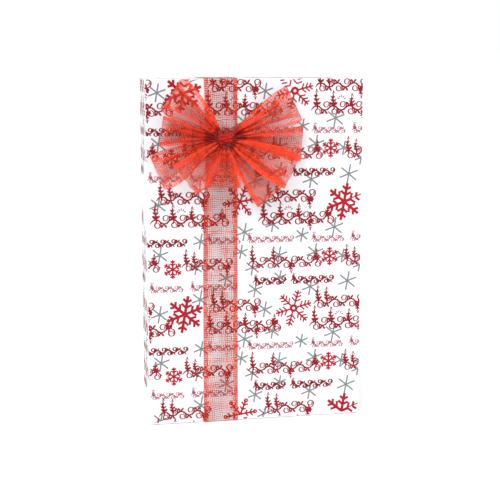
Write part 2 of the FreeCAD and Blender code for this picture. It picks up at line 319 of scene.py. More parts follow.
def blend_colours(tree, amount, first, second):
    """The first colour where amount is 0, the second where it is 1."""
    node = put(tree, "ShaderNodeMix", data_type="RGBA")
    feed(tree, node.inputs[0], amount)
    for socket, value in zip(node.inputs[6:8], (first, second)):
        feed(tree, socket, value if isinstance(value, bpy.types.NodeSocket) else (*value, 1.0))
    return node.outputs[2]


def noise(tree, place, scale, detail, roughness=0.5):
    node = put(tree, "ShaderNodeTexNoise")
    return fill(tree, node, Vector=place, Scale=scale, Detail=detail, Roughness=roughness)


def object_place(tree):
    return put(tree, "ShaderNodeTexCoord").outputs["Object"]


def bump(tree, shader, height, distance, strength):
    node = fill(tree, put(tree, "ShaderNodeBump"), Strength=strength, Distance=distance, Height=height)
    fill(tree, shader, Normal=node.outputs[0])


def new_group(name, inputs, outputs):
    """An empty shader group with named inputs, each (name, type, default), and named float outputs."""
    group = bpy.data.node_groups.new(name, "ShaderNodeTree")
    for label, kind, default in inputs:
        socket = group.interface.new_socket(label, in_out="INPUT", socket_type=kind)
        if default is not None:
            socket.default_value = default
    for label in outputs:
        group.interface.new_socket(label, in_out="OUTPUT", socket_type="NodeSocketFloat")
    return group, put(group, "NodeGroupInput").outputs, put(group, "NodeGroupOutput").inputs


def thread_run(group, position, pitch, cover, wander):
    """Threads side by side: each is centred in its cell, with its own width and its own shade.

    Puts out their mask, their round height and the shade.
    """
    moved = calc(group, "ADD", calc(group, "DIVIDE", position, pitch), wander)
    own = put(group, "ShaderNodeTexWhiteNoise", noise_dimensions="1D")
    shade = fill(group, own, W=calc(group, "FLOOR", moved)).outputs["Value"]
    off_centre = calc(group, "ABSOLUTE", calc(group, "SUBTRACT", calc(group, "FRACT", moved), 0.5))
    off = calc(group, "MULTIPLY", off_centre, 2.0)
    width = calc(group, "MULTIPLY", cover, calc(group, "MULTIPLY_ADD", shade, 0.9, 0.55))
    soft = 0.10
    mask = ramp(group, off, calc(group, "SUBTRACT", width, soft), calc(group, "ADD", width, soft), 1.0, 0.0)
    crown = calc(group, "SUBTRACT", 1.0, calc(group, "MULTIPLY", off, off))
    return mask, calc(group, "MULTIPLY", mask, crown), shade


def open_weave():
    """Group: an open weave of uneven threads, denser in the selvedges and where the cloth is gathered."""
    name = "Open weave"
    if name in bpy.data.node_groups:
        return bpy.data.node_groups[name]
    inputs = [
        ("Place", "NodeSocketVector", None),
        ("Pitch", "NodeSocketFloat", 0.0018),
        ("Cover", "NodeSocketFloat", 0.3),
        ("Half Width", "NodeSocketFloat", RIBBON_HALF),
        ("Selvedge", "NodeSocketFloat", 0.005),
        ("Gather", "NodeSocketFloat", 0.0),
    ]
    group, given, out = new_group(name, inputs, ("Threads", "Height", "Shade", "Dense"))
    split = put(group, "ShaderNodeSeparateXYZ")
    feed(group, split.inputs[0], given["Place"])
    across, along = split.outputs[0], split.outputs[1]
    wave = noise(group, given["Place"], 110.0, 1.0)
    drift = put(group, "ShaderNodeSeparateColor")
    feed(group, drift.inputs[0], wave.outputs["Color"])
    wander = [calc(group, "MULTIPLY_ADD", drift.outputs[i], 1.7, -0.85) for i in (0, 1)]
    rim = calc(group, "SUBTRACT", given["Half Width"], calc(group, "ABSOLUTE", across))
    dense = ramp(group, rim, calc(group, "MULTIPLY", given["Selvedge"], 0.8), given["Selvedge"], 1.0, 0.0)
    cover = calc(group, "ADD", given["Cover"], calc(group, "MULTIPLY", dense, 0.20))
    cover = calc(group, "ADD", cover, calc(group, "MULTIPLY", given["Gather"], 0.9))
    bunched = noise(group, given["Place"], 70.0, 2.0).outputs["Fac"]
    cover = calc(group, "ADD", cover, calc(group, "MULTIPLY_ADD", bunched, 0.44, -0.22))
    closer = calc(group, "MULTIPLY_ADD", calc(group, "ROUND", dense), -0.45, 1.0)
    close = calc(group, "MULTIPLY", given["Pitch"], closer)
    warp = thread_run(group, across, close, cover, wander[0])
    weft = thread_run(group, along, given["Pitch"], cover, wander[1])
    feed(group, out["Threads"], calc(group, "MAXIMUM", warp[0], weft[0]))
    feed(group, out["Height"], calc(group, "MAXIMUM", warp[1], weft[1]))
    feed(group, out["Shade"], calc(group, "MULTIPLY", calc(group, "ADD", warp[2], weft[2]), 0.5))
    feed(group, out["Dense"], dense)
    return group


def mottle():
    """Group: slow and fine unevenness of a printed, painted or pressed surface, as a value round 0.5."""
    name = "Mottle"
    if name in bpy.data.node_groups:
        return bpy.data.node_groups[name]
    inputs = [("Place", "NodeSocketVector", None), ("Fine", "NodeSocketFloat", 0.5)]
    group, given, out = new_group(name, inputs, ("Value",))
    slow = noise(group, given["Place"], 45.0, 3.0).outputs["Fac"]
    fine = noise(group, given["Place"], 1400.0, 2.0).outputs["Fac"]
    mixed = calc(group, "MULTIPLY_ADD", calc(group, "SUBTRACT", fine, slow), given["Fine"], slow)
    feed(group, out["Value"], mixed)
    return group


def use_group(tree, group, **values):
    """The outputs of a group node in this material, with its sockets fed by name."""
    return fill(tree, put(tree, "ShaderNodeGroup", node_tree=group), **values).outputs


def mottled(tree, fine):
    """The mottle over this material, where fine is the weight of its fine part."""
    return use_group(tree, mottle(), Place=object_place(tree), Fine=fine)["Value"]


def paper_finish(settings):
    """White satin gift wrap: faint fibres, soft dents and an uneven sheen."""
    made, tree, shader = new_material("Gift wrap paper")
    uneven = mottled(tree, 0.35)
    white = tuple(settings.white)
    fill(
        tree, shader, Base_Color=blend_colours(tree, uneven, scaled(white, 0.97), white),
        Roughness=ramp(tree, uneven, 0.2, 0.8, 0.42, 0.58),
    )
    dents = noise(tree, object_place(tree), 16.0, 2.0).outputs["Fac"]
    bump(tree, shader, calc(tree, "MULTIPLY_ADD", uneven, 0.08, dents), 0.0022, 0.55)
    return made


def ink_finish(name, tint):
    """Printing ink on paper: a flat colour that the paper's grain breaks up a little."""
    made, tree, shader = new_material(name)
    uneven = mottled(tree, 0.7)
    ink = blend_colours(tree, ramp(tree, uneven, 0.25, 0.75), scaled(tint, 0.85), scaled(tint, 1.2, 0.008))
    dull = ramp(tree, uneven, 0.2, 0.8, 0.38, 0.55)
    fill(tree, shader, Base_Color=ink, Roughness=dull, Specular_IOR_Level=0.15)
    return made


def ribbon_finish(name, settings, cover, tone=1.0):
    """Open-weave mesh ribbon: see-through between its threads, with dense edges, a closer weave where it is
    gathered, and painted shade there in a deep colour.

    The brightness factor darkens the threads: below 1, on the band, it paints the shade of the band lying
    flat on the paper.
    """
    made, tree, shader = new_material(name)
    uv = put(tree, "ShaderNodeUVMap", uv_map="cloth").outputs[0]
    gather_and_shade = put(tree, "ShaderNodeAttribute", attribute_name="gather_and_shade").outputs["Fac"]
    weave = use_group(
        tree, open_weave(), Place=uv, Pitch=settings.pitch, Cover=cover, Half_Width=RIBBON_HALF,
        Selvedge=settings.selvedge, Gather=gather_and_shade,
    )
    # A factor below 1 paints shade on the threads.
    red = scaled(settings.red, tone)
    threads = blend_colours(tree, weave["Shade"], scaled(red, 0.36), scaled(red, 1.22))
    edged = blend_colours(tree, calc(tree, "MULTIPLY", weave["Dense"], 0.5), threads, scaled(red, 1.1))
    fill(
        tree, shader,
        # Where the cloth is gathered tight, the threads take the deep colour: painted shade in the folds and
        # pinched necks, over the real closer weave.
        Base_Color=blend_colours(tree, ramp(tree, gather_and_shade, 0.5, 1.0), edged, tuple(settings.painted_fold_shade)),
        Alpha=calc(tree, "MAXIMUM", weave["Threads"], settings.film),
        Roughness=ramp(tree, weave["Height"], 0.0, 1.0, 0.65, 0.42),
        Sheen_Weight=0.10, Sheen_Roughness=0.4, Specular_IOR_Level=0.12,
    )
    bump(tree, shader, weave["Height"], 0.0003, 0.7)
    return made


def wire_finish(name, tint, metallic):
    """Thin coloured wire, with fine lighter and darker patches along it."""
    made, tree, shader = new_material(name)
    uneven = mottled(tree, 0.8)
    fill(
        tree, shader, Base_Color=blend_colours(tree, uneven, scaled(tint, 0.7), scaled(tint, 1.3, 0.02)),
        Roughness=ramp(tree, uneven, 0.2, 0.8, 0.35, 0.6), Metallic=metallic,
    )
    return made


def board_finish():
    """Clay-coated folding boxboard: pale grey-white with short fibres and specks."""
    made, tree, shader = new_material("Folding boxboard")
    fibre = noise(tree, object_place(tree), 500.0, 3.0, 0.7).outputs["Fac"]
    base = blend_colours(tree, mottled(tree, 0.6), (0.66, 0.64, 0.60), (0.80, 0.79, 0.76))
    specks = ramp(tree, fibre, 0.62, 0.72)
    fill(
        tree, shader, Base_Color=blend_colours(tree, specks, base, (0.50, 0.46, 0.40)),
        Roughness=ramp(tree, fibre, 0.3, 0.7, 0.75, 0.92),
    )
    bump(tree, shader, fibre, 0.0001, 0.4)
    return made


def tape_finish():
    """Clear matte tape: a thin milky film, cloudier where it hasn't bonded."""
    made, tree, shader = new_material("Clear matte tape")
    uneven = mottled(tree, 0.3)
    fill(
        tree, shader, Base_Color=blend_colours(tree, uneven, (0.80, 0.81, 0.80), (0.92, 0.92, 0.91)),
        Alpha=ramp(tree, uneven, 0.35, 0.65, 0.22, 0.42), Roughness=ramp(tree, uneven, 0.3, 0.7, 0.28, 0.45),
    )
    return made


# ---------------------------------------------------------------- the paper


def girth_outline():
    """Knots of the paper's path round the box: distance from the front's left edge, x, y and the normal.

    Straight runs join quarter turns. The path starts on the back under the seam, goes round by the left side,
    the front and the right side, and ends on the back at the seam, one paper's thickness further out.
    """
    left, front = PAPER_LOW[:2]
    right, back = PAPER_HIGH[:2]
    under = back - PAPER
    corners = [
        (-SIDE_DEPTH, (left, under), (0, 1), (-1, 0)),
        (0.0, (left, front), (-1, 0), (0, -1)),
        (FACE_WIDTH, (right, front), (0, -1), (1, 0)),
        (FACE_WIDTH + SIDE_DEPTH, (right, back), (1, 0), (0, 1)),
    ]
    turn = np.linspace(0.0, np.pi / 2, 4)[:, None]
    knots = [np.array([[-SIDE_DEPTH - (UNDER_END_X - left), UNDER_END_X, under, 0, 1]])]
    for at, corner, before, after in corners:
        before, after = np.array(before, float), np.array(after, float)
        normal = before * np.cos(turn) + after * np.sin(turn)
        centre = np.array(corner) - PAPER_BEND * (before + after)
        distance = at + PAPER_BEND * np.linspace(-1, 1, 4)[:, None]
        knots.append(np.hstack([distance, centre + PAPER_BEND * normal, normal]))
    knots.append(np.array([[FACE_WIDTH + SIDE_DEPTH + right - SEAM_X, SEAM_X, back, 0, 1]]))
    return np.concatenate(knots)


OUTLINE = girth_outline()


def panel_level(u):
    """How many layers of paper lie over a panel's end flap: 0 for the front, 1 for the back, 2 for a side."""
    side = ((u < 0) & (u > -SIDE_DEPTH)) | ((u > FACE_WIDTH) & (u < FACE_WIDTH + SIDE_DEPTH))
    front = (u >= 0) & (u <= FACE_WIDTH)
    return np.where(front, 0.0, np.where(side, 2.0, 1.0))


def from_edge(u):
    """The distance along the paper to the nearest upright edge of the box."""
    return np.min(np.abs(np.asarray(u)[..., None] - EDGES), -1)


def paper_point(u, v, lift=0.0, wave=0.0):
    """The paper's surface at distance u round the box and height v, raised by lift.

    Between the ends, the point is on the outline at u, moved out along the normal by the lift and by a slow
    wave: a level and the product of two sines, which fade to nothing at the folds. Past an end it turns in
    over the box.
    """
    x, y, nx, ny = (np.interp(u, OUTLINE[:, 0], OUTLINE[:, i]) for i in range(1, 5))
    size = np.hypot(nx, ny)
    nx, ny = nx / size, ny / size
    inset = panel_level(u) * PAPER
    top, bottom = PAPER_HIGH[2] - inset, PAPER_LOW[2] + inset
    from_end = np.minimum(np.abs(v - top), np.abs(v - bottom))
    fade = np.clip(from_edge(u) / WAVE_FADE, 0, 1) * np.clip(from_end / WAVE_FADE, 0, 1)
    swell = wave * fade * (0.55 + 0.45 * np.sin(71 * u + 1.3) * np.sin(43 * v + 0.4))
    over = np.maximum(v - top, 0) + np.maximum(bottom - v, 0)
    out = np.where(over > 0, -over, swell + lift)
    z = np.clip(v, bottom, top) + lift * ((v > top).astype(float) - (v < bottom))
    return np.stack([x + nx * out, y + ny * out, z], -1)


def end_flap(u, reach, width, middle, axis, v_end):
    """A flap over an end: rows go in from the edge, each drawn in evenly towards the panel's middle."""
    depth = np.linspace(0.0, reach, 9)[:, None]
    edge = paper_point(u, np.full_like(u, v_end))
    points = np.repeat(edge[None], len(depth), 0)
    inward = 1 - axis
    inside = (SEAM_X, 0.0)[inward]
    sign = 1.0 if edge[:, inward].mean() < inside else -1.0
    points[..., inward] += sign * depth
    points[..., axis] = middle + (points[..., axis] - middle) * (1 - 2 * depth / width)
    faces = grid_faces(len(depth), len(u))
    at_top = v_end > (PAPER_LOW[2] + PAPER_HIGH[2]) / 2
    return points.reshape(-1, 3), faces if at_top else faces[:, ::-1]


def paper_sheet(settings):
    """The wrapping paper as one sheet: the run round the box, and at each end its tucks and flaps.

    Each end has two side tucks, a front flap, and a back flap in two parts that meet at the seam.
    """
    start, stop, step = OUTLINE[0, 0], OUTLINE[-1, 0], 0.006
    under_seam = np.round(UNDER_SEAM, 6)
    places = [np.arange(start, stop, step), OUTLINE[:, 0], [under_seam], EDGES, [stop]]
    u = np.unique(np.round(np.concatenate(places), 6))
    rows = 65
    inset = panel_level(u) * PAPER
    share_up = np.linspace(0.0, 1.0, rows)[:, None]
    v = (PAPER_LOW[2] + inset) * (1 - share_up) + (PAPER_HIGH[2] - inset) * share_up
    body = paper_point(np.repeat(u[None], rows, 0), v, wave=settings.wave)
    parts = [(body.reshape(-1, 3), grid_faces(rows, len(u)))]
    middle = (PAPER_LOW + PAPER_HIGH) / 2
    panels = [
        (u[(u >= 0) & (u <= FACE_WIDTH)], END_FLAP, FACE_WIDTH, middle[0], 0),
        (u[(u > -SIDE_DEPTH) & (u < 0)], SIDE_DEPTH / 2, SIDE_DEPTH, middle[1], 1),
        (u[(u > FACE_WIDTH) & (u < FACE_WIDTH + SIDE_DEPTH)], SIDE_DEPTH / 2, SIDE_DEPTH, middle[1], 1),
        (u[(u >= under_seam) & (u <= -SIDE_DEPTH)], END_FLAP, FACE_WIDTH, middle[0], 0),
        (u[u >= FACE_WIDTH + SIDE_DEPTH], END_FLAP, FACE_WIDTH, middle[0], 0),
    ]
    for run, reach, width, mid, axis in panels:
        inset = panel_level(run)[0] * PAPER
        parts.append(end_flap(run, reach, width, mid, axis, PAPER_HIGH[2] - inset))
        parts.append(end_flap(run, reach, width, mid, axis, PAPER_LOW[2] + inset))
    return joined(parts)


class GIFT_OT_paper(bpy.types.Operator):
    """Wrap the box in one folded sheet of paper"""

    bl_idname = "gift.paper"
    bl_label = "Wrapping Paper"

    def execute(self, context):
        settings = context.scene.gift_paper
        points, faces = paper_sheet(settings)
        sheet = new_piece("wrapping_paper_sheet", points, faces)
        merge_doubles(sheet.data)
        sheet.data.set_sharp_from_angle(angle=math.radians(40))
        thick = sheet.modifiers.new("Thickness", "SOLIDIFY")
        thick.thickness = 0.9 * PAPER
        thick.offset = -1.0
        sheet.data.materials.append(paper_finish(settings))
        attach(sheet, "wrapped_box")
        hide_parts("wrapping_paper")
        return {"FINISHED"}


# ---------------------------------------------------------------- the print


TENDRIL = (62.0, -0.55, -2.5)  # a tendril's first heading (deg), and its bend at its start and at its tip


def curl(height, heading, first, last, count=20):
    """A line whose bend changes evenly from first to last, in turns over its length; centred, in mm."""
    t = np.linspace(0.0, 1.0, count)
    angle = np.radians(heading) + 2 * np.pi * (first * t + (last - first) * t**2 / 2)
    step = np.stack([np.cos(angle), np.sin(angle)], -1)
    line = np.concatenate([[[0.0, 0.0]], np.cumsum((step[1:] + step[:-1]) / 2, 0)])
    line *= height / np.ptp(line[:, 1])
    return line - (line.max(0) + line.min(0)) / 2


def pen_stroke(line, thick, thin):
    """A pen line: its points set off to both sides, thick where it runs up or down, and thin across.

    A motif's points have a third value, the rise, which here goes from 0 at the line's start to 1 at its end.
    """
    along = np.gradient(line, axis=0)
    along /= np.linalg.norm(along, axis=1, keepdims=True) + 1e-12
    t = np.linspace(0.0, 1.0, len(line))
    taper = 0.45 + 0.55 * np.sin(np.pi * t) ** 0.4
    half = (thin + (thick - thin) * np.abs(along[:, 1]) ** 1.6) * taper / 2
    side = np.stack([-along[:, 1], along[:, 0]], -1) * half[:, None]
    points = np.stack([line + side, line - side], 1)
    rise = np.repeat(t[:, None, None], 2, 1)
    faces = grid_faces(len(line), 2)
    return np.concatenate([points, rise], -1).reshape(-1, 3), faces


def bars(starts, ends, width):
    """Straight bars, one quad each, from the start points to the end points."""
    along = (ends - starts) / np.linalg.norm(ends - starts, axis=1, keepdims=True)
    side = np.stack([-along[:, 1], along[:, 0]], -1) * width / 2
    corners = np.stack([starts + side, starts - side, ends - side, ends + side], 1)
    rise = np.repeat(np.linspace(0.0, 1.0, len(starts))[:, None, None], 4, 1)
    points = np.concatenate([corners, rise], -1).reshape(-1, 3)
    return points, np.arange(len(points)).reshape(-1, 4)


def six_arms(radius, twigs, width, hub=0.0, phase=90.0, balls=0.0, rim=2.0):
    """A snowflake: six arms, each with pairs of twigs, (distance, length) as shares of the radius.

    The hub, a share of the radius, is a ring as thick as rim, and balls is the size of the arms' round ends.
    """
    angle = np.radians(phase + 60 * np.arange(6))
    arm = np.stack([np.cos(angle), np.sin(angle)], -1)
    parts = [bars(arm * hub * radius, arm * radius, width)]
    for at, size in twigs:
        for turn in (-1, 1):
            way = angle + turn * np.radians(55)
            twig = np.stack([np.cos(way), np.sin(way)], -1)
            parts.append(bars(arm * at * radius, arm * at * radius + twig * size * radius, width * 0.85))
    rings = [(np.zeros((1, 2)), hub * radius, rim)] if hub else []
    if balls:
        rings.append((arm * radius, balls, balls))
    for centres, size, thick in rings:
        around = np.radians(np.arange(0, 361, 30))
        circle = np.stack([np.cos(around), np.sin(around)], -1) * size
        for centre in centres:
            line = circle + centre
            parts.append(bars(line[:-1], line[1:] + (line[1:] - line[:-1]) * 0.2, thick))
    return joined(parts)


def blades(places, turns, sizes, broad=0.22, blunt=1.0):
    """Filled leaves: a straight rib from each place, with a half width that is a power of a sine along it."""
    count = 7
    t = np.linspace(0.0, 1.0, count)
    angle = np.radians(np.asarray(turns, float))
    along = np.stack([np.cos(angle), np.sin(angle)], -1) * np.broadcast_to(sizes, angle.shape)[:, None]
    side = np.stack([-along[:, 1], along[:, 0]], -1)
    rib = np.asarray(places, float)[:, None] + along[:, None] * t[:, None]
    half = side[:, None] * (broad * np.sin(np.pi * t) ** blunt)[:, None]
    points = np.stack([rib + half, rib - half], 2)
    rise = np.broadcast_to(t[None, :, None, None], (*points.shape[:3], 1))
    faces = grid_faces(count, 2)[None] + (np.arange(len(angle)) * 2 * count)[:, None, None]
    return np.concatenate([points, rise], -1).reshape(-1, 3), faces.reshape(-1, 4)


def sprig(x, low, size, thick, leaf):
    """An upright stem with a slight double bend, three pairs of leaves, and a leaf and two berries on top.

    A negative size hangs it.
    """
    way, sway = np.sign(size), 0.05 * abs(size)
    t = np.linspace(0.0, 1.0, 12)
    line = np.stack([x + sway * np.sin(2 * np.pi * t), low + size * t], -1)
    up = np.repeat([0.30, 0.52, 0.74], 2)
    places = np.stack([x + sway * np.sin(2 * np.pi * up), low + size * up], -1)
    turns = way * (90 + np.tile([-48, 48], 3))
    tip = np.array([[x, low + size]])
    berries = tip + np.array([[-1.9, 0.6 * way], [0.9, 0.6 * way]])
    return joined([
        pen_stroke(line, thick, 0.6 * thick),
        blades(places, turns, leaf * np.array([1.15, 1.15, 1.0, 1.0, 0.8, 0.8])),
        blades(tip, [90 * way], 0.9 * leaf),
        blades(berries, [0, 0], 1.2, 0.5, 0.6),
    ])


def vine(x, width, height, step, thick, sprigs=()):
    """A scrolling stem: a sine line with a curled tendril inside each bend, leaves outside it, and sprigs.

    A sprig is its distance along the stem and its size, in mm, where a negative size hangs it.
    """
    run = np.linspace(0.0, width, 2 * int(width))
    swing = 0.17 * height
    stem = np.stack([x + run, swing * np.sin(np.pi * run / step)], -1)
    parts = [pen_stroke(stem, 1.1 * thick, 0.8 * thick)]
    at = np.arange(step / 2, width - 1, step)
    way = (-1.0) ** np.arange(len(at))
    for place, side in zip(at, way):
        coil = curl(0.56 * height, *TENDRIL) * [1, side]
        parts.append(pen_stroke(coil + [x + place, -side * 0.16 * height], thick, 0.55 * thick))
    crest = np.repeat(np.stack([x + at, way * swing], -1), 2, 0)
    turns = np.repeat(way, 2) * (90 + np.tile([-40, 40], len(at)))
    parts.append(blades(crest, turns, 0.36 * height))
    for place, size in sprigs:
        parts.append(sprig(x + place, -np.sign(size) * swing, size, 1.25 * thick, 0.30 * height))
    return joined(parts)


def tall_short():
    """A row about 57 mm long: a vine with two tall sprigs at its start and one that hangs at its end."""
    return vine(0, 57, 15, 9.3, 1.75, [(4, 18), (14, 16), (51, -14)])


def tall_long():
    """A row about 84 mm long: a vine with sprigs of several heights, and a burst of rays over it."""
    rays = np.radians(np.array([20, 55, 90, 125, 160]))
    ray = np.stack([np.cos(rays), np.sin(rays)], -1)
    burst = bars(ray * 2.8 + [33, 9], ray * 5.2 + [33, 9], 1.0)
    return joined([vine(0, 84, 15.5, 9.3, 1.75, [(5, 20), (24, 18), (45, 15), (58, -13), (78, 12)]), burst])


def middle_pair():
    """Two rows for the middle of the repeat, a short one and a long one."""
    short = vine(0, 56, 14.5, 9.0, 1.65, [(4, 17), (13, 14), (50, -13)])
    long = vine(74, 84, 14.5, 9.0, 1.65, [(4, 19), (28, 17), (48, -12), (77, 13)])
    return joined([short, long])


def bold_row():
    """A low, heavy row about 92 mm long, in two groups."""
    return joined([vine(x, width, 9.5, 6.0, 1.8, [(3, 8)]) for x, width in ((0, 38), (43, 49))])


def fine_row():
    """A light row about 98 mm long, in two groups."""
    return joined([vine(x, width, 8.0, 5.2, 0.95, [(3, 8)]) for x, width in ((0, 38), (45, 53))])


def broad_flake():
    """A large heavy snowflake."""
    return six_arms(21, ((0.36, 0.34), (0.66, 0.28)), 3.2, phase=80.0)


def hub_flake():
    """A large light snowflake with a ring at its hub."""
    return six_arms(21, ((0.38, 0.30), (0.60, 0.28), (0.80, 0.22)), 1.9, hub=0.15, phase=75.0, rim=3.0)


def ball_flake():
    """A snowflake of middle size, whose arms end in balls."""
    return six_arms(17, ((0.35, 0.25), (0.66, 0.28)), 2.1, phase=68.0, balls=1.7)


def small_flake():
    """A small snowflake."""
    return six_arms(10.5, ((0.42, 0.36), (0.7, 0.3)), 1.9)


# Rows of the print: motif, place of its first copy (mm from the front's left edge, mm up), its step across,
# and how far every second row of its copies is shifted. The rows step up by half a repeat.
HALF_REPEAT = 121.0
REPEAT_ACROSS = 364
TALL_ROWS = [
    (tall_short, 12, 11, 119, 57),
    (tall_long, 5, -14, 119.5, 59),
    (middle_pair, -143, 58, 182, 0),
]
BOLD_ROWS = [(bold_row, x, y, REPEAT_ACROSS, 0) for x, y in ((-48, 83), (118, 37), (252, 40))]
FINE_ROWS = [(fine_row, x, y, REPEAT_ACROSS, 0) for x, y in ((66, 84), (184, 83), (2, 32))]
FLAKE_ROWS = [
    (broad_flake, 41, 124, REPEAT_ACROSS, 180),
    (hub_flake, 164, 126, 2 * REPEAT_ACROSS, 182),
    (ball_flake, 103, 6, REPEAT_ACROSS, 182),
    (small_flake, 28, 54, REPEAT_ACROSS, 0),
    (small_flake, 205, 63, REPEAT_ACROSS, 0),
]
# Place of each star's first copy and the star's size, in mm
STARS = [
    (59, 84, 8), (14, 70, 9), (54, 55, 7), (87, 42, 8), (58, 19, 9), (13, 4, 9), (104, 71, 7), (108, 93, 9),
    (140, 101, 8), (210, 96, 10), (173, 88, 7), (188, 68, 9), (220, 63, 7), (147, 66, 9), (117, 53, 8),
    (148, 41, 7), (183, 29, 9), (226, 34, 10), (120, 28, 8), (240, 52, 7), (131, 5, 8), (299, 84, 8),
    (254, 70, 9), (294, 55, 7), (327, 42, 8), (298, 19, 9), (253, 4, 9), (344, 71, 7), (348, 93, 9),
    (268, 100, 8), (318, 104, 8),
]


def printable(u, v):
    """Where ink shows: on the run round the box up to the seam, and on the top flaps past an end."""
    level, clear = panel_level(u), 0.0005
    inset = level * PAPER
    over = np.maximum(v - (PAPER_HIGH[2] - inset), 0) + np.maximum(PAPER_LOW[2] + inset - v, 0)
    limit = np.where(level == 0, END_FLAP, np.where(level == 1, SIDE_DEPTH - END_FLAP, SIDE_DEPTH))
    on_top = (over <= limit) & ((over == 0) | (over < from_edge(u) - clear))
    return on_top & (u > UNDER_SEAM) & (u < OUTLINE[-1, 0])


def print_rows(rows, wave, lift):
    """Repeats each motif over the whole sheet and lays it on the paper.

    Motifs are flat, in mm. Their rise tilts each stroke by a few micrometres, so that strokes that cross
    don't lie in one plane.
    """
    parts, tilt = [], 5e-6
    margin_across, margin_up = 0.17, 0.06
    across, up = np.meshgrid(np.arange(-8, 9), np.arange(-2, 5), indexing="ij")
    for motif, u0, v0, step, shift in rows:
        points, faces = motif()
        u = (u0 + across * step + shift * (up % 2)).ravel() / 1000
        v = (v0 + up * HALF_REPEAT).ravel() / 1000 + PAPER_LOW[2]
        near = (u > OUTLINE[0, 0] - margin_across) & (u < OUTLINE[-1, 0])
        near &= (v > -margin_up) & (v < PAPER_HIGH[2] + margin_up)
        u, v = u[near], v[near]
        flat = points[None, :, :2] / 1000 + np.stack([u, v], -1)[:, None]
        rise = np.repeat(points[None, :, 2], len(u), 0)
        shown = printable(flat[..., 0], flat[..., 1]).ravel()
        every = (faces[None] + (np.arange(len(u)) * len(points))[:, None, None]).reshape(-1, 4)
        every = every[shown[every].all(1)]
        placed = paper_point(flat[..., 0].ravel(), flat[..., 1].ravel(), lift + tilt * rise.ravel(), wave)
        used, again = np.unique(every, return_inverse=True)
        parts.append((placed[used], again.reshape(-1, 4)))
    return joined(parts)


def star_rows():
    """Each small star as a row of its own, so that it repeats with the rest of the print."""
    def star(size):
        return lambda: six_arms(size + 1, (), 1.7, phase=80.0)

    return [(star(size), x, y, REPEAT_ACROSS, 0) for x, y, size in STARS]


class GIFT_OT_print(bpy.types.Operator):
    """Print vines, snowflakes and stars on the paper"""

    bl_idname = "gift.print_motifs"
    bl_label = "Paper Print"

    def execute(self, context):
        settings = context.scene.gift_paper
        inks = [
            ("print_small_stars", star_rows(), settings.grey, 0.8e-5),
            ("print_fine_vines", FINE_ROWS, settings.mauve, 1.6e-5),
            ("print_tall_vines", TALL_ROWS, settings.crimson, 2.4e-5),
            ("print_bold_vines", BOLD_ROWS, settings.dark, 3.2e-5),
            ("print_snowflakes", FLAKE_ROWS, settings.red, 4.0e-5),
        ]
        for name, rows, tint, lift in inks:
            points, faces = print_rows(rows, settings.wave, lift)
            ink = new_piece(name, points, faces, smooth=False)
            ink.data.materials.append(ink_finish(name.replace("_", " ").capitalize(), tuple(tint)))
            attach(ink, "wrapped_box")
        return {"FINISHED"}


# ---------------------------------------------------------------- the ribbon band


def band_line():
    """The band's line in its own plane, as (y, z): up the front, over, down the back, under, and up again.

    Straight runs meet in quarter turns of the bend radius. A run is worked out with the given count of
    points, and leaves out its two ends. The last run lies over the band's own start, one ribbon's thickness
    further out.
    """
    front, back = BAND_LOW[1] + 1.5 * RIBBON, BAND_HIGH[1] - RIBBON / 2
    low, high = BAND_LOW[2] + RIBBON / 2, BAND_HIGH[2] - RIBBON / 2
    start, end, r = KNOT[2] - LAP_HALF, KNOT[2] + LAP_HALF, BAND_BEND
    turn = np.linspace(0.0, np.pi / 2, 6)
    cos, sin = r * np.cos(turn), r * np.sin(turn)

    def run(y0, y1, z0, z1, count):
        return np.stack([np.linspace(y0, y1, count), np.linspace(z0, z1, count)], -1)[1:-1]

    outer, leaves, settles = front - RIBBON, start - 0.012, start - 0.004
    parts = [
        run(front, front, start, high - r, 14),
        np.stack([front + r - cos, high - r + sin], -1),
        run(front + r, back - r, high, high, 12),
        np.stack([back - r + sin, high - r + cos], -1),
        run(back, back, high - r, low + r, 60),
        np.stack([back - r + cos, low + r - sin], -1),
        run(back - r, front + r, low, low, 12),
        np.stack([front + r - sin, low + r - cos], -1),
        run(front, front, low + r, leaves, 52),
        run(front, outer, leaves, settles, 5),
        run(outer, outer, settles, end, 9),
    ]
    return np.concatenate(parts)


def band_cloth(settings):
    """The band as a grid: its line, carried across the ribbon's width, which narrows in a bell at the knot.

    Where it narrows, shallow pleats rise off the paper, more where more of the width is lost.
    """
    line = band_line()
    columns, deepest = 29, 0.0022
    across = np.linspace(-1.0, 1.0, columns)
    on_front = line[:, 0] < BAND_LOW[1] + 0.002
    near = on_front * np.exp(-(((line[:, 1] - KNOT[2]) / BAND_BELL) ** 2))
    half = RIBBON_HALF * (1 - settings.draw_in * near)
    centre = KNOT[0] * near * 0.5
    slack = deepest * np.sqrt(settings.draw_in * near)
    fold = slack[:, None] * (1 + np.cos(4.5 * np.pi * across + 0.8)) / 2 * (1 - across**4)
    x = centre[:, None] + half[:, None] * across
    y = np.repeat(line[:, :1], columns, 1) - fold
    z = np.repeat(line[:, 1:], columns, 1)
    run = np.concatenate([[0.0], np.cumsum(np.linalg.norm(np.diff(line, axis=0), axis=1))])
    gather_and_shade = np.repeat(0.03 * near[:, None] * (settings.draw_in > 0), columns, 1)
    return np.stack([x, y, z], -1), cloth_uv(across * RIBBON_HALF, run), gather_and_shade


